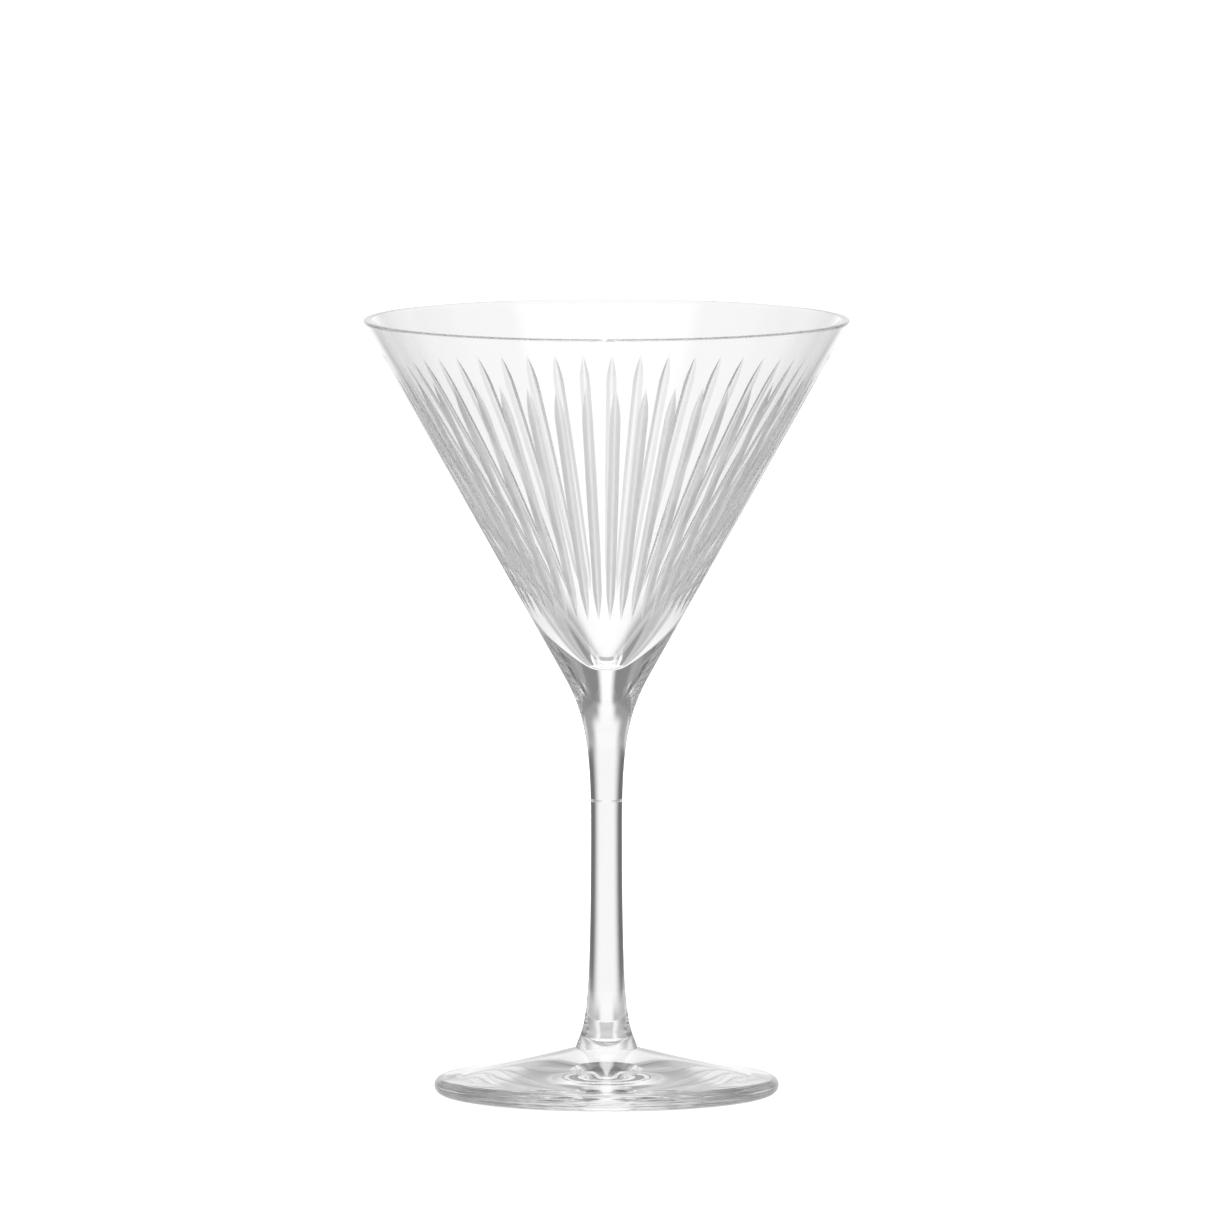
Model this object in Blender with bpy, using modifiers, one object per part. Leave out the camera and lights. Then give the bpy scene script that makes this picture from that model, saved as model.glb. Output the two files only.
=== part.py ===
"""Martini glass: four pieces of clear glass fused end to end on one axis.

bowl   blown cone with a solid base and a rounded lip, cut outside with a ring of long flutes
neck   the flared upper length of the stem, fused under the bowl
shank  the lower length of the stem, fused to the neck and to the foot
foot   the pressed disc that the glass stands on

The origin is the centre of the base and +Z is the axis. Nothing moves.
"""

import math

import bmesh
import bpy
from mathutils import Matrix

# Driving dimensions, in metres.
HEIGHT = 0.1725
RIM_RADIUS = 0.0536
LIP_RADIUS = 0.00085
OUTER_SLOPE = 0.5629  # radius gained for each unit of height, outside the bowl
BOWL_FLOOR = 0.0965  # height of the lowest point inside the bowl
FLOOR_RADIUS = 0.0043  # the ball that rounds off the point inside
INNER_SLOPE_LOW = 1.0  # radius gained for each unit of height, inside and just above the ball
INNER_SLOPE_TOP = 0.545  # the same, inside and just below the lip
INNER_REACH_LOW = 0.012  # how far the side keeps to each of those slopes
INNER_REACH_TOP = 0.030
BOWL_JOINT = 0.0930
STEM_JOINT = 0.0653
FOOT_JOINT = 0.0104
FUSED_GAP = 0.0003

WAIST_RADIUS = 0.00348
WAIST_HEIGHT = 0.060
STEM_BASE_RADIUS = 0.0069

FOOT_RADIUS = 0.0382
FOOT_EDGE_RADIUS = 0.0019
REST_RING_INNER = 0.0315
REST_RING_OUTER = 0.0357
UNDERSIDE_RISE = 0.0014

FLUTE_COUNT = 45
FLUTE_TOP = 0.1608
FLUTE_BOTTOM = 0.1069
FLUTE_HALF_WIDTH = 0.00119
FLUTE_TILT = 0.68  # depth over half-width of the V-shaped cut
FLUTE_TAPER = 0.009  # length over which a cut widens from its point
CUTTER_PROUD = 0.00015  # how far a cutter's middle stands off the glass

BOWL_STEPS = 2 * FLUTE_COUNT
STEM_STEPS = 48
FOOT_STEPS = 72

LIP_HEIGHT = HEIGHT - LIP_RADIUS
SLANT = math.atan(OUTER_SLOPE)


def collection(name):
    made = bpy.data.collections.new(name)
    bpy.context.scene.collection.children.link(made)
    return made


def glass(name, tint):
    """Clear glass with a faint tint of its own."""
    material = bpy.data.materials.new(name)
    material.use_nodes = True
    shader = material.node_tree.nodes["Principled BSDF"]
    shader.inputs["Base Color"].default_value = (*tint, 1.0)
    shader.inputs["Metallic"].default_value = 0.0
    shader.inputs["Roughness"].default_value = 0.02
    shader.inputs["IOR"].default_value = 1.52
    shader.inputs["Transmission Weight"].default_value = 1.0
    return material


def arc(centre, radius, start, end, count):
    """Points round a circle, from one angle to another in degrees."""
    angles = [math.radians(start + (end - start) * i / count) for i in range(count + 1)]
    return [(centre[0] + radius * math.cos(a), centre[1] + radius * math.sin(a)) for a in angles]


def bezier(first, first_handle, last_handle, last, count):
    """Points along a cubic curve."""
    points = []
    for i in range(count + 1):
        t = i / count
        weights = ((1 - t) ** 3, 3 * (1 - t) ** 2 * t, 3 * (1 - t) * t * t, t**3)
        corners = (first, first_handle, last_handle, last)
        points.append(tuple(sum(w * p[axis] for w, p in zip(weights, corners)) for axis in (0, 1)))
    return points


def length_of(outline, high, low):
    """A solid length of a falling outline between two heights, closed to the axis at both ends."""
    side = []
    for (r0, z0), (r1, z1) in zip(outline, outline[1:]):
        for level in (high, low):
            if z0 > level > z1:
                side.append((r0 + (r1 - r0) * (z0 - level) / (z0 - z1), level))
        if high > z1 > low:
            side.append((r1, z1))
    side.sort(key=lambda point: -point[1])
    return [(0.0, high), *side, (0.0, low)]


def turned(name, outline, steps, material, home):
    """A solid of revolution. The outline starts and ends on the axis and runs down its outer side."""
    mesh = bpy.data.meshes.new(name)
    points = [(r, 0.0, z) for r, z in outline]
    mesh.from_pydata(points, [(i, i + 1) for i in range(len(points) - 1)], [])
    piece = bpy.data.objects.new(name, mesh)
    home.objects.link(piece)
    piece.data.materials.append(material)
    screw = piece.modifiers.new("turn", "SCREW")
    screw.axis = "Z"
    screw.angle = math.tau
    screw.steps = screw.render_steps = steps
    screw.use_merge_vertices = True
    screw.merge_threshold = 0.00001
    screw.use_smooth_shade = True
    return piece


def cone_radius(height):
    """Outer radius of the bowl's straight side."""
    lip_offset = LIP_RADIUS * (math.hypot(1.0, OUTER_SLOPE) - 1.0)
    return RIM_RADIUS + lip_offset + OUTER_SLOPE * (height - LIP_HEIGHT)


def inner_outline(lip_centre):
    """Up the inside of the bowl: a ball at the point, then a side that steepens towards the lip."""
    low_slant = math.atan(INNER_SLOPE_LOW)
    top_slant = math.atan(INNER_SLOPE_TOP)
    floor = arc((0.0, BOWL_FLOOR + FLOOR_RADIUS), FLOOR_RADIUS, -90.0, -math.degrees(low_slant), 4)
    low = floor[-1]
    top = (lip_centre - LIP_RADIUS * math.cos(top_slant), LIP_HEIGHT + LIP_RADIUS * math.sin(top_slant))
    low_handle = (low[0] + INNER_REACH_LOW * math.sin(low_slant), low[1] + INNER_REACH_LOW * math.cos(low_slant))
    top_handle = (top[0] - INNER_REACH_TOP * math.sin(top_slant), top[1] - INNER_REACH_TOP * math.cos(top_slant))
    return floor + bezier(low, low_handle, top_handle, top, 7)[1:]


def bowl_outline():
    """Up the inside of the bowl, over the lip and down the straight outside to the joint."""
    lip_centre = RIM_RADIUS - LIP_RADIUS
    lip_start = 180.0 - math.degrees(math.atan(INNER_SLOPE_TOP))
    lip_inside = arc((lip_centre, LIP_HEIGHT), LIP_RADIUS, lip_start, 90.0, 3)
    lip_outside = arc((lip_centre, LIP_HEIGHT), LIP_RADIUS, 90.0, -math.degrees(SLANT), 4)
    foot_of_cone = (cone_radius(BOWL_JOINT), BOWL_JOINT)
    inner = inner_outline(lip_centre)
    return inner + lip_inside[1:] + lip_outside[1:] + [foot_of_cone, (0.0, BOWL_JOINT)]


def stem_outline():
    """From under the bowl, through the waist, to where the stem flares out on the foot."""
    top_radius = cone_radius(BOWL_JOINT)
    cone_reach = 0.009
    neck_handle = (top_radius - cone_reach * math.sin(SLANT), BOWL_JOINT - cone_reach * math.cos(SLANT))
    waist = (WAIST_RADIUS, WAIST_HEIGHT)
    upper = bezier((top_radius, BOWL_JOINT), neck_handle, (WAIST_RADIUS, WAIST_HEIGHT + 0.018), waist, 16)
    flare_handle = (STEM_BASE_RADIUS - 0.0017, FOOT_JOINT + 0.0057)
    base = (STEM_BASE_RADIUS, FOOT_JOINT)
    lower = bezier(waist, (WAIST_RADIUS, WAIST_HEIGHT - 0.0475), flare_handle, base, 18)
    return upper + lower[1:]


def foot_outline():
    """Over the sloping top, round the edge, across the resting ring and up the hollow underside."""
    edge_centre = (FOOT_RADIUS - FOOT_EDGE_RADIUS, FOOT_EDGE_RADIUS + 0.0002)
    edge = arc(edge_centre, FOOT_EDGE_RADIUS, 80.0, -75.0, 6)
    crease = (STEM_BASE_RADIUS, FOOT_JOINT)
    top = bezier(crease, (0.0125, 0.0091), (0.0255, 0.0052), edge[0], 10)
    hollow = [math.radians(22.5 * i) for i in range(5)]
    underside = [(REST_RING_INNER * math.cos(a), UNDERSIDE_RISE * math.sin(a)) for a in hollow[:-1]]
    return [(0.0, FOOT_JOINT), *top, *edge[1:], (REST_RING_OUTER, 0.0), *underside, (0.0, UNDERSIDE_RISE)]


def flute_half_width(from_bottom, from_top):
    """A cut widens from a point at each end and is a little narrower towards the stem."""
    broadening = 0.75 + 0.25 * min(from_bottom / 0.030, 1.0)
    low_end = math.sin(math.pi / 2 * min(from_bottom / FLUTE_TAPER, 1.0))
    high_end = math.sin(math.pi / 2 * min(from_top / FLUTE_TAPER, 1.0))
    return FLUTE_HALF_WIDTH * broadening * low_end * high_end


def flute_cutter_mesh():
    """A long four-sided spindle lying along X, with its bottom point at the origin."""
    length = (FLUTE_TOP - FLUTE_BOTTOM) / math.cos(SLANT)
    ramp = [FLUTE_TAPER * i / 5 for i in range(6)]
    places = ramp + [length / 2] + [length - d for d in reversed(ramp)]
    margin = CUTTER_PROUD / FLUTE_TILT
    stations = [(-0.001, margin / 4)]
    stations += [(d, margin + flute_half_width(d, length - d)) for d in places]
    stations += [(length + 0.001, margin / 4)]

    curve = bpy.data.curves.new("flute_cutter", "CURVE")
    curve.dimensions = "3D"
    curve.bevel_depth = 1.0
    curve.bevel_resolution = 0
    curve.use_fill_caps = True
    spline = curve.splines.new("POLY")
    spline.points.add(len(stations) - 1)
    for point, (along, radius) in zip(spline.points, stations):
        point.co = (along, 0.0, 0.0, 1.0)
        point.radius = radius
    drawn = bpy.data.objects.new("flute_curve", curve)
    bpy.context.scene.collection.objects.link(drawn)
    mesh = bpy.data.meshes.new_from_object(drawn.evaluated_get(bpy.context.evaluated_depsgraph_get()))
    bpy.data.objects.remove(drawn)

    work = bmesh.new()
    work.from_mesh(mesh)
    bmesh.ops.remove_doubles(work, verts=work.verts, dist=0.000001)
    bmesh.ops.recalc_face_normals(work, faces=work.faces)
    work.to_mesh(mesh)
    work.free()
    mesh.transform(Matrix.Diagonal((1.0, 1.0, FLUTE_TILT, 1.0)))
    return mesh


def cut_flutes(bowl, cutters):
    """Lays one cutter down the middle of every second facet of the bowl and takes them all away."""
    mesh = flute_cutter_mesh()
    flat = math.cos(math.pi / BOWL_STEPS)
    start = cone_radius(FLUTE_BOTTOM) * flat + CUTTER_PROUD * math.cos(SLANT)
    height = FLUTE_BOTTOM - CUTTER_PROUD * math.sin(SLANT)
    for i in range(FLUTE_COUNT):
        bearing = math.tau * (i + 0.0625) / FLUTE_COUNT
        cutter = bpy.data.objects.new(f"flute_cutter_{i:02d}", mesh)
        cutter.location = (start * math.cos(bearing), start * math.sin(bearing), height)
        cutter.rotation_euler = (0.0, SLANT - math.pi / 2, bearing)
        cutter.display_type = "WIRE"
        cutter.hide_render = True
        cutters.objects.link(cutter)
    cut = bowl.modifiers.new("flutes", "BOOLEAN")
    cut.operation = "DIFFERENCE"
    cut.solver = "EXACT"
    cut.operand_type = "COLLECTION"
    cut.collection = cutters


def main():
    for old in list(bpy.data.objects):
        bpy.data.objects.remove(old)
    pieces = collection("martini_glass")
    cutters = collection("cutters")

    bowl = turned("bowl", bowl_outline(), BOWL_STEPS, glass("bowl_glass", (0.97, 0.98, 0.98)), pieces)
    cut_flutes(bowl, cutters)

    stem = stem_outline()
    neck = length_of(stem, BOWL_JOINT - FUSED_GAP, STEM_JOINT)
    turned("neck", neck, STEM_STEPS, glass("neck_glass", (0.96, 0.98, 0.97)), pieces)
    shank = length_of(stem, STEM_JOINT - FUSED_GAP, FOOT_JOINT + FUSED_GAP)
    turned("shank", shank, STEM_STEPS, glass("shank_glass", (0.96, 0.97, 0.98)), pieces)
    turned("foot", foot_outline(), FOOT_STEPS, glass("foot_glass", (0.97, 0.97, 0.98)), pieces)


main()
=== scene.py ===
"""Studio view of the martini glass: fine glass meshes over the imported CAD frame, on a pale floor."""

import math

import bpy
import numpy as np
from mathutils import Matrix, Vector

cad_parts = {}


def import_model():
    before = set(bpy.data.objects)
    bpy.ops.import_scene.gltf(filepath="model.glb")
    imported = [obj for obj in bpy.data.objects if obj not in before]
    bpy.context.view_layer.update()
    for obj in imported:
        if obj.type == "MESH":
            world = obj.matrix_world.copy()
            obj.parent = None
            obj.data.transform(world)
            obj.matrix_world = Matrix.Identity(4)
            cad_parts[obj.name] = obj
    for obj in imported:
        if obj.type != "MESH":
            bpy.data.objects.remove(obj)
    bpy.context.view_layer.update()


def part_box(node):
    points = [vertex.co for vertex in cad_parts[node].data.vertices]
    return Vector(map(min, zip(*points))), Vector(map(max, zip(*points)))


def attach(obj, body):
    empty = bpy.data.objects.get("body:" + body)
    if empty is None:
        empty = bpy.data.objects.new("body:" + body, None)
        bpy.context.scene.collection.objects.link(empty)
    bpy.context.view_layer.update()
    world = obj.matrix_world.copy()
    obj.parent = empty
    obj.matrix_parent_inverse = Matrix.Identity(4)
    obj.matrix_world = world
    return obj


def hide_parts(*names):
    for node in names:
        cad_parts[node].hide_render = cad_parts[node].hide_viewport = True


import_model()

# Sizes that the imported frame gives, in metres.
BOWL_LOW, BOWL_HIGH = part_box("bowl")
NECK_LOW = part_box("neck")[0]
FOOT_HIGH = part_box("foot")[1]
HEIGHT = BOWL_HIGH[2]
RIM_RADIUS = BOWL_HIGH[0]
BOWL_JOINT = BOWL_LOW[2]
STEM_JOINT = NECK_LOW[2]
FOOT_JOINT = FOOT_HIGH[2]
FOOT_RADIUS = FOOT_HIGH[0]

# The same as the CAD model's, in metres. A slope is radius gained for each unit of height.
LIP_RADIUS = 0.00085
OUTER_SLOPE = 0.5629
BOWL_FLOOR = 0.0965
FLOOR_RADIUS = 0.0043
INNER_SLOPE_LOW = 1.0
INNER_SLOPE_TOP = 0.545
INNER_REACH_LOW = 0.012
INNER_REACH_TOP = 0.030
LIP_HEIGHT = HEIGHT - LIP_RADIUS
SLANT = math.atan(OUTER_SLOPE)

CONE_REACH = 0.009  # handle, along the bowl's slope, of the curve from the bowl to the waist
WAIST_RADIUS = 0.00348
WAIST_HEIGHT = 0.060
WAIST_REACH_UP = 0.018
WAIST_REACH_DOWN = 0.0475
STEM_BASE_RADIUS = 0.0069
FLARE_RISE = 0.0057  # handle, upwards and inwards, of the curve that meets the foot
FLARE_INSET = 0.0017

FOOT_TOP_HANDLES = ((0.0125, 0.0091), (0.0255, 0.0052))
FOOT_EDGE_RADIUS = 0.0019
FOOT_EDGE_LIFT = 0.0002
FOOT_EDGE_START = 80.0
FOOT_EDGE_END = -75.0
REST_RING_INNER = 0.0315
REST_RING_OUTER = 0.0357
UNDERSIDE_RISE = 0.0014

FLUTE_COUNT = 45
FLUTE_TOP = 0.1608
FLUTE_BOTTOM = 0.1069
FLUTE_HALF_WIDTH = 0.00119
FLUTE_BROADENING = 0.030  # length over which a cut grows from three quarters of its width to all of it
FLUTE_TAPER = 0.009  # length over which a cut widens from its point
FLUTE_BEARING = 0.0625  # of the first flute, as a share of the spacing

# What only the fine meshes have: a flatter lip, grooves at the seam, and a wheel with a rounded edge.
LIP_CORNER = 0.00035
LIP_FLATTENING = 0.0003
SEAM_DEPTH = 0.00006
SEAM_WIDTH = 0.00025
FLUTE_TILT = math.radians(28.0)
FLUTE_NOSE = 0.0005
FLUTE_END_HALF_WIDTH = 0.00009  # the least that a cut's columns close in to, at its points
FLUTE_EASE = 0.006  # distance past a cut's point over which the columns spread out evenly

CUT_COLUMNS = 8
LAND_COLUMNS = 6
SECTOR_COLUMNS = CUT_COLUMNS + LAND_COLUMNS
SECTOR = math.tau / FLUTE_COUNT
STEM_COLUMNS = 160
FOOT_COLUMNS = 256
CREASE_ANGLE = math.radians(30)

GLASS_INDEX = 1.52
CUT_ROUGHNESS = 0.45
CUT_ROUGHNESS_SPREAD = 0.06

CAMERA_DISTANCE = 6.5
CAMERA_ELEVATION = 5.4
VIEW_WIDTH = 0.2684
VIEW_CENTRE = (0.0001, 0.0, 0.1083)
SENSOR_WIDTH = 36.0
TENT_RADIUS = 30.0
FLOOR_REACH = 30.0
BOUNCES = 48  # light runs a long way inside the wall before it leaves at the lip


# ---------------------------------------------------------------- outlines and meshes


def fade(value, start, end):
    """0 before start and 1 after end, with a smooth change between them."""
    t = np.clip((value - start) / (end - start), 0, 1)
    return t * t * (3 - 2 * t)


def bezier(first, first_handle, last_handle, last, count):
    """Points along a cubic curve."""
    t = np.linspace(0.0, 1.0, count + 1)[:, None]
    a, b, c, d = (np.array(p, float) for p in (first, first_handle, last_handle, last))
    return (1 - t) ** 3 * a + 3 * (1 - t) ** 2 * t * b + 3 * (1 - t) * t**2 * c + t**3 * d


def bezier_slopes(first, first_handle, last_handle, last, count):
    """Unit directions along a cubic curve, one for each of its points."""
    t = np.linspace(0.0, 1.0, count + 1)[:, None]
    a, b, c, d = (np.array(p, float) for p in (first, first_handle, last_handle, last))
    along = (1 - t) ** 2 * (b - a) + 2 * (1 - t) * t * (c - b) + t**2 * (d - c)
    return along / np.linalg.norm(along, axis=1)[:, None]


def arc(centre, radius, start, end, count):
    """Points round a circle, from one angle to another in degrees."""
    a = np.radians(np.linspace(start, end, count + 1))
    return np.stack([centre[0] + radius * np.cos(a), centre[1] + radius * np.sin(a)], 1)


def cone_radius(height):
    """Outer radius of the bowl's straight side."""
    beyond_lip = LIP_RADIUS * (math.hypot(1.0, OUTER_SLOPE) - 1.0)
    return RIM_RADIUS + beyond_lip + OUTER_SLOPE * (height - LIP_HEIGHT)


def skin(name, rings, materials, face_slots=None):
    """A closed mesh through rings of equal count, from pole to pole. A pole is a ring of one point."""
    points = np.concatenate(rings)
    starts = np.cumsum([0] + [len(r) for r in rings])
    faces, slots = [], []
    for k in range(len(rings) - 1):
        low, high = rings[k], rings[k + 1]
        n = max(len(low), len(high))
        i = np.arange(n)
        j = (i + 1) % n
        a, b = starts[k], starts[k + 1]
        if len(low) == 1:
            faces += [(a, b + p, b + q) for p, q in zip(i, j)]
        elif len(high) == 1:
            faces += [(a + q, a + p, b) for p, q in zip(i, j)]
        else:
            faces += [(a + q, a + p, b + p, b + q) for p, q in zip(i, j)]
        slots += list(face_slots(k, i)) if face_slots else [0] * n
    mesh = bpy.data.meshes.new(name)
    mesh.from_pydata(points.tolist(), [], faces)
    for m in materials:
        mesh.materials.append(m)
    mesh.polygons.foreach_set("material_index", np.array(slots, np.int32))
    mesh.update()
    mesh.shade_smooth()
    piece = bpy.data.objects.new(name, mesh)
    bpy.context.scene.collection.objects.link(piece)
    return piece


def turn(outline, columns):
    """Rings of an outline turned about the axis. A point on the axis becomes a pole."""
    a = np.linspace(0.0, math.tau, columns, endpoint=False)
    rings = []
    for r, z in outline:
        if r < 1e-7:
            rings.append(np.array([[0.0, 0.0, z]]))
        else:
            rings.append(np.stack([r * np.cos(a), r * np.sin(a), np.full(columns, z)], 1))
    return rings


# ---------------------------------------------------------------- materials


class Nodes:
    """A Principled material and short ways to add nodes to it."""

    def __init__(self, name):
        self.material = bpy.data.materials.new(name)
        self.material.use_nodes = True
        self.tree = self.material.node_tree
        self.shader = self.tree.nodes["Principled BSDF"]

    def add(self, kind, **settings):
        node = self.tree.nodes.new(kind)
        for key, value in settings.items():
            setattr(node, key, value)
        return node

    def link(self, source, target):
        self.tree.links.new(source, target)

    def math(self, operation, *operands):
        node = self.add("ShaderNodeMath", operation=operation)
        for socket, value in zip(node.inputs, operands):
            if isinstance(value, (int, float)):
                socket.default_value = value
            else:
                self.link(value, socket)
        return node.outputs[0]

    def polar(self):
        """Angle round the axis, distance from it, and height."""
        place = self.add("ShaderNodeSeparateXYZ")
        self.link(self.add("ShaderNodeTexCoord").outputs["Object"], place.inputs[0])
        x, y, z = place.outputs
        squares = self.math("ADD", self.math("MULTIPLY", x, x), self.math("MULTIPLY", y, y))
        return self.math("ARCTAN2", y, x), self.math("SQRT", squares), z

    def around(self, turns, across, along):
        """Coordinates of a turned piece for a pattern, with a scale for each of its three."""
        angle, radius, z = self.polar()
        joined = self.add("ShaderNodeCombineXYZ")
        self.link(self.math("MULTIPLY", angle, turns), joined.inputs[0])
        self.link(self.math("MULTIPLY", radius, across), joined.inputs[1])
        self.link(self.math("MULTIPLY", z, along), joined.inputs[2])
        return joined.outputs[0]

    def noise(self, scale, detail=2.0, coordinates=None):
        node = self.add("ShaderNodeTexNoise")
        node.inputs["Scale"].default_value = scale
        node.inputs["Detail"].default_value = detail
        if coordinates is None:
            coordinates = self.add("ShaderNodeTexCoord").outputs["Object"]
        self.link(coordinates, node.inputs["Vector"])
        return node.outputs[0]

    def bump(self, height, distance, below=None):
        node = self.add("ShaderNodeBump")
        node.inputs["Strength"].default_value = 1.0
        node.inputs["Distance"].default_value = distance
        self.link(height, node.inputs["Height"])
        if below is not None:
            self.link(below, node.inputs["Normal"])
        return node.outputs["Normal"]

    def spread(self, value, start, end, low, high):
        """A value between start and end as one between low and high."""
        node = self.add("ShaderNodeMapRange")
        self.link(value, node.inputs["Value"])
        node.inputs["From Min"].default_value = start
        node.inputs["From Max"].default_value = end
        node.inputs["To Min"].default_value = low
        node.inputs["To Max"].default_value = high
        return node.outputs[0]


def glass(name):
    nodes = Nodes(name)
    nodes.shader.inputs["Base Color"].default_value = (1.0, 1.0, 1.0, 1.0)
    nodes.shader.inputs["IOR"].default_value = GLASS_INDEX
    nodes.shader.inputs["Transmission Weight"].default_value = 1.0
    return nodes


def blown_glass():
    """Fire-polished skin: very slow waves, and finer ones round the axis from turning."""
    nodes = glass("blown_glass")
    slow = nodes.bump(nodes.noise(scale=40.0, detail=0.0), distance=6.0e-6)
    turning = nodes.noise(1.0, coordinates=nodes.around(turns=3.0, across=400.0, along=400.0))
    nodes.link(nodes.bump(turning, distance=3.0e-7, below=slow), nodes.shader.inputs["Normal"])
    nodes.shader.inputs["Roughness"].default_value = 0.0
    return nodes.material


def drawn_glass():
    """Stem skin: faint lengthwise lines from drawing it out, and the fine grain of a mould."""
    nodes = glass("drawn_glass")
    drawn = nodes.noise(1.0, coordinates=nodes.around(turns=9.0, across=0.0, along=25.0))
    lines = nodes.bump(drawn, distance=2.5e-6)
    grain = nodes.noise(scale=3800.0, detail=1.0)
    nodes.link(nodes.bump(grain, distance=2.5e-6, below=lines), nodes.shader.inputs["Normal"])
    nodes.shader.inputs["Roughness"].default_value = 0.0
    return nodes.material


def pressed_glass():
    """Foot skin: fine rings round its edge, from spinning in its mould, fading out inwards."""
    nodes = glass("pressed_glass")
    pattern = nodes.noise(1.0, coordinates=nodes.around(turns=2.0, across=150.0, along=2600.0))
    share = nodes.spread(nodes.polar()[1], 0.6 * FOOT_RADIUS, 0.95 * FOOT_RADIUS, low=0.04, high=1.0)
    rings = nodes.bump(nodes.math("MULTIPLY", pattern, share), distance=4.0e-5)
    slow = nodes.bump(nodes.noise(scale=60.0, detail=0.0), distance=3.0e-6, below=rings)
    nodes.link(slow, nodes.shader.inputs["Normal"])
    nodes.shader.inputs["Roughness"].default_value = 0.0
    return nodes.material


def cut_glass():
    """Wheel-cut face: satin, with fine lines along the cut."""
    nodes = glass("cut_glass")
    lines = nodes.noise(1.0, coordinates=nodes.around(turns=80.0, across=0.0, along=30.0))
    nodes.link(nodes.bump(lines, distance=1.2e-5), nodes.shader.inputs["Normal"])
    low, high = CUT_ROUGHNESS - CUT_ROUGHNESS_SPREAD, CUT_ROUGHNESS + CUT_ROUGHNESS_SPREAD
    rough = nodes.spread(lines, 0.3, 0.7, low, high)
    nodes.link(rough, nodes.shader.inputs["Roughness"])
    return nodes.material


def fused_face():
    """Where two pieces have melted into one there is no surface left to see."""
    nodes = Nodes("fused_face")
    nodes.shader.inputs["Alpha"].default_value = 0.0
    return nodes.material


BLOWN = blown_glass()
DRAWN = drawn_glass()
PRESSED = pressed_glass()
CUT = cut_glass()
FUSED = fused_face()

# ---------------------------------------------------------------- bowl


def flute_half_width(from_bottom, from_top):
    """A cut widens from a point at each end and is a little narrower towards the stem."""
    broadening = 0.75 + 0.25 * np.clip(from_bottom / FLUTE_BROADENING, 0, 1)
    low_end = np.sin(np.pi / 2 * np.clip(from_bottom / FLUTE_TAPER, 0, 1))
    high_end = np.sin(np.pi / 2 * np.clip(from_top / FLUTE_TAPER, 0, 1))
    return FLUTE_HALF_WIDTH * broadening * low_end * high_end


def nose_drop(x):
    """Height of the wheel's edge above its lowest point, at a distance x from its middle."""
    x = np.abs(x)
    turn_off = FLUTE_NOSE * math.sin(FLUTE_TILT)
    round_part = FLUTE_NOSE - np.sqrt(np.maximum(FLUTE_NOSE**2 - np.minimum(x, turn_off) ** 2, 0))
    return round_part + np.maximum(x - turn_off, 0) * math.tan(FLUTE_TILT)


def bowl_ring(height, radius, outside):
    """One ring of the bowl. Outside, its columns close in on each flute's edges and sink into the cut."""
    from_bottom = (height - FLUTE_BOTTOM) / math.cos(SLANT)
    from_top = (FLUTE_TOP - height) / math.cos(SLANT)
    even_half = SECTOR * CUT_COLUMNS / SECTOR_COLUMNS / 2
    if outside:
        half = max(float(flute_half_width(from_bottom, from_top)), FLUTE_END_HALF_WIDTH) / radius
        beyond = max(-from_bottom, -from_top, 0.0)
        half = half + (even_half - half) * fade(beyond, 0.0, FLUTE_EASE)
    else:
        half = even_half
    across = np.concatenate([
        np.linspace(-half, half, CUT_COLUMNS + 1),
        np.linspace(half, SECTOR - half, LAND_COLUMNS + 1)[1:-1],
    ])
    angles = (np.arange(FLUTE_COUNT)[:, None] + FLUTE_BEARING) * SECTOR + across[None, :]
    sink = np.zeros_like(across)
    if outside and from_bottom > 0 and from_top > 0:
        w = float(flute_half_width(from_bottom, from_top))
        inside = np.abs(across) * radius < w
        sink[inside] = nose_drop(w) - nose_drop(across[inside] * radius)
    sink = np.broadcast_to(sink[None, :], angles.shape)
    r = (radius - sink * math.cos(SLANT)).ravel()
    z = height + (sink * math.sin(SLANT)).ravel()
    a = angles.ravel()
    return np.stack([r * np.cos(a), r * np.sin(a), z], 1)


def inner_outline(lip_centre):
    """The bowl's inner side from its floor to the lip: points, and normals that point into the cavity."""
    floor_slant = math.atan(INNER_SLOPE_LOW)
    top_slant = math.atan(INNER_SLOPE_TOP)
    centre = (0.0, BOWL_FLOOR + FLOOR_RADIUS)
    floor = arc(centre, FLOOR_RADIUS, -90.0, -math.degrees(floor_slant), count=14)
    floor_normals = (np.array(centre) - floor) / FLOOR_RADIUS
    top = np.array([
        lip_centre - LIP_RADIUS * math.cos(top_slant), LIP_HEIGHT + LIP_RADIUS * math.sin(top_slant)
    ])
    low_handle = floor[-1] + INNER_REACH_LOW * np.array([math.sin(floor_slant), math.cos(floor_slant)])
    top_handle = top - INNER_REACH_TOP * np.array([math.sin(top_slant), math.cos(top_slant)])
    side = bezier(floor[-1], low_handle, top_handle, top, count=36)
    slopes = bezier_slopes(floor[-1], low_handle, top_handle, top, count=36)
    side_normals = np.stack([-slopes[:, 1], slopes[:, 0]], 1)
    return np.concatenate([floor, side[1:-1]]), np.concatenate([floor_normals, side_normals[1:-1]])


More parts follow.
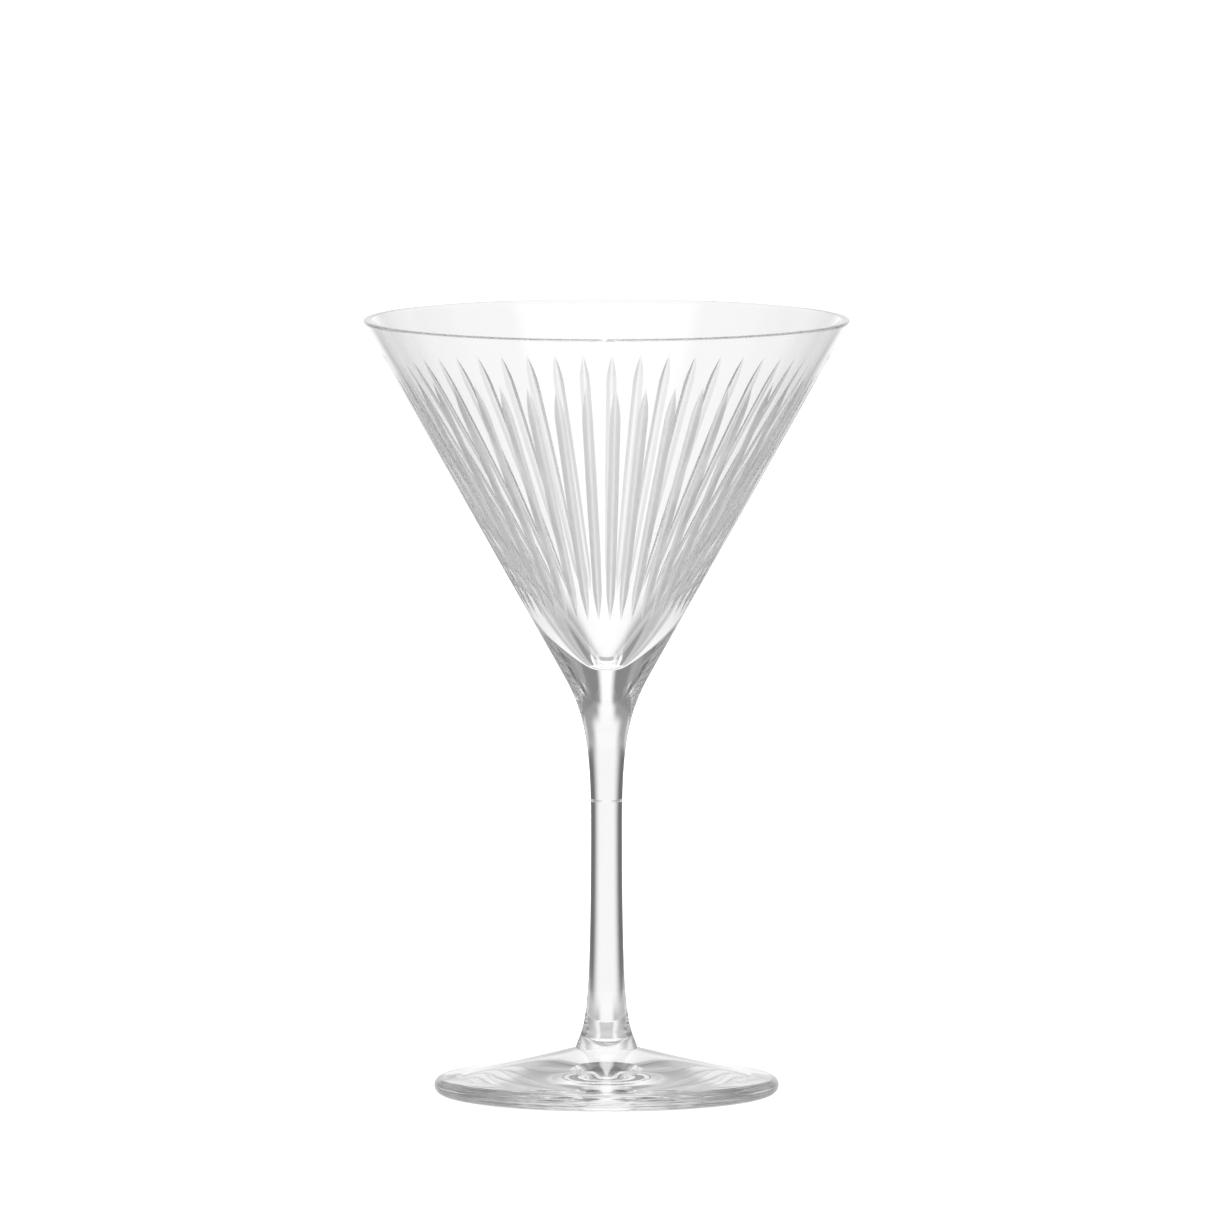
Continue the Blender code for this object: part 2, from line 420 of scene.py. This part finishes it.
def lip_outline(lip_centre):
    """Points and normals over the lip, inside to outside: two corners on the bowl's sides and a flat."""
    inner_slant = math.atan(INNER_SLOPE_TOP)
    height = HEIGHT - LIP_FLATTENING - LIP_CORNER
    inset = LIP_RADIUS - LIP_CORNER
    rise = height - LIP_HEIGHT
    inner = (lip_centre - (inset - rise * math.sin(inner_slant)) / math.cos(inner_slant), height)
    outer = (lip_centre + (inset + rise * math.sin(SLANT)) / math.cos(SLANT), height)
    inner_arc = arc(inner, LIP_CORNER, 180.0 - math.degrees(inner_slant), 90.0, count=9)
    outer_arc = arc(outer, LIP_CORNER, 90.0, -math.degrees(SLANT), count=14)
    normals = np.concatenate([inner_arc - np.array(inner), outer_arc - np.array(outer)]) / LIP_CORNER
    return np.concatenate([inner_arc, outer_arc]), normals


def bowl():
    """Rings up the inside, over the lip and down the cut outside, closest where the cuts begin and end."""
    lip_centre = RIM_RADIUS - LIP_RADIUS
    inner, inner_normals = inner_outline(lip_centre)
    lip, lip_normals = lip_outline(lip_centre)
    ramp = FLUTE_TAPER * math.cos(SLANT)
    heights = np.concatenate([
        np.linspace(lip[-1][1], FLUTE_TOP, 6)[1:],
        np.linspace(FLUTE_TOP, FLUTE_TOP - ramp, 17)[1:],
        np.linspace(FLUTE_TOP - ramp, FLUTE_BOTTOM + ramp, 12)[1:],
        np.linspace(FLUTE_BOTTOM + ramp, FLUTE_BOTTOM, 17)[1:],
        np.linspace(FLUTE_BOTTOM, BOWL_JOINT, 8)[1:],
    ])
    side = [(z, cone_radius(z)) for z in heights]
    rings = [np.array([[0.0, 0.0, inner[0][1]]])]
    rings += [bowl_ring(z, r, False) for r, z in np.concatenate([inner[1:], lip])]
    outer_start = len(rings) - 1
    rings += [bowl_ring(z, r, True) for z, r in side]
    outer_end = len(rings) - 1
    rings.append(bowl_ring(BOWL_JOINT, side[-1][1] * 0.5, False))
    rings.append(np.array([[0.0, 0.0, BOWL_JOINT]]))
    side_normals = np.tile([math.cos(SLANT), -math.sin(SLANT)], (len(side), 1))
    outline_normals = np.concatenate([inner_normals, lip_normals, side_normals, [[0, -1], [0, -1]]])
    ring_height = [float(r[:, 2].max()) for r in rings]

    def slots(k, i):
        if k >= outer_end:
            return np.full(len(i), 2)
        within = ring_height[k] <= FLUTE_TOP + 1e-6 and ring_height[k + 1] >= FLUTE_BOTTOM - 1e-6
        return np.where((k >= outer_start) & (i % SECTOR_COLUMNS < CUT_COLUMNS) & within, 1, 0)

    piece = skin("bowl_glass", rings, [BLOWN, CUT, FUSED], slots)
    set_normals(piece.data, rings, outline_normals)
    return piece


def set_normals(mesh, rings, outline_normals):
    """Gives the turned surface its exact normals, and each cut the normals of its own faces alone."""
    count = len(mesh.vertices)
    place = np.concatenate(rings)
    across = np.hypot(place[:, 0], place[:, 1])
    out = place[:, :2] / np.maximum(across, 1e-9)[:, None]
    profile = np.repeat(outline_normals, [len(r) for r in rings], axis=0)
    turned = np.concatenate([out * profile[:, :1], profile[:, 1:]], 1)
    corners = np.empty(len(mesh.loops), np.int32)
    mesh.loops.foreach_get("vertex_index", corners)
    sides = np.empty(len(mesh.polygons), np.int32)
    slot = np.empty(len(mesh.polygons), np.int32)
    face_normal = np.empty(len(mesh.polygons) * 3, np.float32)
    mesh.polygons.foreach_get("loop_total", sides)
    mesh.polygons.foreach_get("material_index", slot)
    mesh.polygons.foreach_get("normal", face_normal)
    corner_slot = np.repeat(slot, sides)
    corner_face = np.repeat(face_normal.reshape(-1, 3), sides, axis=0)
    cut = corner_slot == 1
    summed = np.zeros((count, 3))
    np.add.at(summed, corners[cut], corner_face[cut])
    summed /= np.maximum(np.linalg.norm(summed, axis=1), 1e-9)[:, None]
    normals = turned[corners]
    normals[cut] = summed[corners[cut]]
    normals[corner_slot == 2] = (0.0, 0.0, -1.0)
    mesh.normals_split_custom_set(normals.tolist())


# ---------------------------------------------------------------- stem and foot


def stem_outline():
    """From under the bowl, through the waist, to where the stem flares out on the foot."""
    top = (cone_radius(BOWL_JOINT), BOWL_JOINT)
    neck_handle = (top[0] - CONE_REACH * math.sin(SLANT), top[1] - CONE_REACH * math.cos(SLANT))
    waist = (WAIST_RADIUS, WAIST_HEIGHT)
    over_waist = (WAIST_RADIUS, WAIST_HEIGHT + WAIST_REACH_UP)
    under_waist = (WAIST_RADIUS, WAIST_HEIGHT - WAIST_REACH_DOWN)
    flare_handle = (STEM_BASE_RADIUS - FLARE_INSET, FOOT_JOINT + FLARE_RISE)
    base = (STEM_BASE_RADIUS, FOOT_JOINT)
    upper = bezier(top, neck_handle, over_waist, waist, count=80)
    lower = bezier(waist, under_waist, flare_handle, base, count=90)
    return np.concatenate([upper, lower[1:]])


def length_of(outline, high, low):
    """The part of a falling outline between two heights."""
    z = outline[::-1, 1]
    r = outline[::-1, 0]
    inside = outline[(outline[:, 1] < high - 1e-6) & (outline[:, 1] > low + 1e-6)]
    ends = [(float(np.interp(h, z, r)), h) for h in (high, low)]
    return np.concatenate([[ends[0]], inside, [ends[1]]])


def seam_groove(side, at_start):
    """Rounds one end of a side outline inwards, where the melted seam draws the skin in."""
    level = side[0][1] if at_start else side[-1][1]
    sign = -1 if at_start else 1
    heights = level + sign * SEAM_WIDTH * np.array([0.25, 0.5, 0.75, 1.0])
    extra = np.stack([np.interp(heights, side[::-1, 1], side[::-1, 0]), heights], 1)
    side = np.array(sorted(side.tolist() + extra.tolist(), key=lambda p: -p[1]))
    near = np.abs(side[:, 1] - level) / SEAM_WIDTH
    side[:, 0] -= SEAM_DEPTH * np.where(near < 1, (1 - near) ** 2, 0)
    return side


def stem_piece(name, side):
    """A turned piece from a falling side outline, closed by a fused face at each end."""
    outline = np.concatenate([[(0.0, side[0][1])], side, [(0.0, side[-1][1])]])
    rings = turn(outline, STEM_COLUMNS)

    def slots(k, i):
        return np.full(len(i), 1 if k in (0, len(rings) - 2) else 0)

    piece = skin(name, rings, [DRAWN, FUSED], slots)
    piece.data.set_sharp_from_angle(angle=CREASE_ANGLE)
    return piece


def stem():
    """The neck and the shank, with a groove on both sides of the seam between them."""
    outline = stem_outline()
    neck_side = length_of(outline, BOWL_JOINT, STEM_JOINT)
    shank_side = length_of(outline, STEM_JOINT, FOOT_JOINT)
    neck = stem_piece("neck_glass", seam_groove(neck_side, False))
    shank = stem_piece("shank_glass", seam_groove(shank_side, True))
    return neck, shank


def foot():
    """Over the sloping top, round the edge, across the resting ring and up the hollow underside."""
    centre = (FOOT_RADIUS - FOOT_EDGE_RADIUS, FOOT_EDGE_RADIUS + FOOT_EDGE_LIFT)
    edge = arc(centre, FOOT_EDGE_RADIUS, FOOT_EDGE_START, FOOT_EDGE_END, count=24)
    top = bezier((STEM_BASE_RADIUS, FOOT_JOINT), *FOOT_TOP_HANDLES, edge[0], count=60)
    ring = np.array([(REST_RING_OUTER, 0.0)])
    a = np.radians(np.linspace(0, 90, 25))
    underside = np.stack([REST_RING_INNER * np.cos(a), UNDERSIDE_RISE * np.sin(a) ** 2], 1)
    underside[-1, 0] = 0.0
    outline = np.concatenate([[(0.0, FOOT_JOINT)], top, edge[1:], ring, underside])
    rings = turn(outline, FOOT_COLUMNS)
    piece = skin("foot_glass", rings, [PRESSED, FUSED], lambda k, i: np.full(len(i), int(k == 0)))
    piece.data.set_sharp_from_angle(angle=CREASE_ANGLE)
    return piece


# ---------------------------------------------------------------- studio


def window(value, start, end, softness):
    """1 between start and end and 0 outside, with soft edges."""
    half = softness / 2
    return fade(value, start - half, start + half) * (1 - fade(value, end - half, end + half))


# The cards that hang in the tent, and the painted shade and painted light of its table below the line of
# sight:
# azimuth away from straight behind the glass, elevation above the camera's line of sight (both from, to
# and softness of the edge, in degrees), and brightness.
CARDS_AND_TABLE_SHADE = (
    ((29, 96, 30), (-10, 11, 5), 0.16),
    ((24, 56, 20), (9, 28, 6), 0.35),
    ((12, 56, 12), (18, 28, 8), 0.3),
    ((56, 125, 10), (9, 28, 6), 0.78),
    ((8, 128, 8), (26, 52, 6), 0.2),
    ((62, 86, 8), (26, 48, 8), 0.05),
    ((-50, 11, 8), (52, 110, 8), 0.7),
    ((11, 128, 8), (52, 110, 8), 0.22),
    # Wholly below the line of sight: painted shade and painted light on the tent's table, as darker and
    # brighter glow.
    ((13, 56, 10), (-27, -9, 8), 0.5),
    ((56, 125, 10), (-27, -10, 6), 0.7),
    ((22, 56, 12), (-45, -27, 8), 0.5),
    ((20, 60, 10), (-64, -45, 8), 0.28),
    ((-50, 13, 6), (-45, -28, 6), 0.45),
    ((-50, 200, 10), (-110, -68, 8), 1.5),
    ((-50, 17, 6), (-66, -46, 6), 1.25),
    ((128, 200, 16), (-42, 24, 14), 0.12),
    ((128, 200, 16), (24, 72, 10), 1.0),
)


def tent_light(azimuth, elevation):
    """Brightness of the light tent in one direction: white cloth, the cards in front of it, and painted
    shade and painted light on its table.
    """
    light = np.full(np.broadcast(azimuth, elevation).shape, 1.0)
    for across, above, brightness in CARDS_AND_TABLE_SHADE:
        light += (brightness - light) * window(azimuth, *across) * window(elevation, *above)
    return light


def tent(cam):
    """A soft light tent. It turns with the camera, like a studio round a glass on a turntable."""
    columns, rows = 180, 90
    azimuth = np.linspace(-math.pi, math.pi, columns + 1)[None, :]
    elevation = np.linspace(-math.pi / 2, math.pi / 2, rows + 1)[:, None]
    x = np.sin(azimuth) * np.cos(elevation)
    z = -np.cos(azimuth) * np.cos(elevation)
    y = np.sin(elevation) + 0 * azimuth
    points = TENT_RADIUS * np.stack([x, y, z], 2).reshape(-1, 3) - np.array([0, 0, CAMERA_DISTANCE])
    corner = (np.arange(rows)[:, None] * (columns + 1) + np.arange(columns)[None, :]).ravel()
    faces = np.stack([corner, corner + 1, corner + columns + 2, corner + columns + 1], 1)
    mesh = bpy.data.meshes.new("tent")
    mesh.from_pydata(points.tolist(), [], faces.tolist())
    light = tent_light(np.degrees(np.abs(azimuth)) + 0 * elevation, np.degrees(elevation) + 0 * azimuth)
    shade = mesh.attributes.new("brightness", "FLOAT", "POINT")
    shade.data.foreach_set("value", light.ravel().astype(np.float32))
    material = bpy.data.materials.new("tent_cloth")
    material.use_nodes = True
    tree = material.node_tree
    tree.nodes.clear()
    source = tree.nodes.new("ShaderNodeAttribute")
    source.attribute_name = "brightness"
    glow = tree.nodes.new("ShaderNodeEmission")
    out = tree.nodes.new("ShaderNodeOutputMaterial")
    tree.links.new(source.outputs["Fac"], glow.inputs["Strength"])
    tree.links.new(glow.outputs["Emission"], out.inputs["Surface"])
    material.cycles.emission_sampling = "NONE"
    mesh.materials.append(material)
    cloth = bpy.data.objects.new("tent", mesh)
    bpy.context.scene.collection.objects.link(cloth)
    cloth.parent = cam
    cloth.visible_camera = False
    cloth.visible_diffuse = False
    cloth.visible_shadow = False


def world():
    studio = bpy.data.worlds.new("studio")
    studio.use_nodes = True
    studio.node_tree.nodes["Background"].inputs["Color"].default_value = (1, 1, 1, 1)
    studio.node_tree.nodes["Background"].inputs["Strength"].default_value = 1.05
    bpy.context.scene.world = studio


def floor():
    corners = [(x * FLOOR_REACH, y * FLOOR_REACH, 0.0) for x, y in ((-1, -1), (1, -1), (1, 1), (-1, 1))]
    mesh = bpy.data.meshes.new("floor")
    mesh.from_pydata(corners, [], [(0, 1, 2, 3)])
    f = bpy.data.objects.new("floor", mesh)
    bpy.context.scene.collection.objects.link(f)
    nodes = Nodes("pale_floor")
    nodes.shader.inputs["Base Color"].default_value = (0.9, 0.9, 0.9, 1)
    nodes.shader.inputs["Roughness"].default_value = 0.7
    nodes.shader.inputs["Emission Color"].default_value = (1, 1, 1, 1)
    nodes.shader.inputs["Emission Strength"].default_value = 0.8
    f.data.materials.append(nodes.material)
    f.visible_transmission = False
    f.visible_glossy = False


def camera():
    data = bpy.data.cameras.new("camera")
    cam = bpy.data.objects.new("camera", data)
    bpy.context.scene.collection.objects.link(cam)
    bpy.context.scene.camera = cam
    data.sensor_width = SENSOR_WIDTH
    data.lens = SENSOR_WIDTH * CAMERA_DISTANCE / VIEW_WIDTH
    data.clip_end = 100
    elevation = math.radians(CAMERA_ELEVATION)
    back = Vector((0, -math.cos(elevation), math.sin(elevation)))
    cam.location = Vector(VIEW_CENTRE) + back * CAMERA_DISTANCE
    cam.rotation_euler = (-back).to_track_quat("-Z", "Y").to_euler()
    return cam


def main():
    pieces = {"bowl": bowl(), "foot": foot()}
    pieces["neck"], pieces["shank"] = stem()
    for node, piece in pieces.items():
        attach(piece, "root")
        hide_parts(node)
    world()
    floor()
    tent(camera())
    bpy.context.scene.view_settings.view_transform = "Standard"
    bpy.context.scene.cycles.max_bounces = BOUNCES
    bpy.context.scene.cycles.transmission_bounces = BOUNCES
    bpy.context.scene.cycles.glossy_bounces = BOUNCES


main()
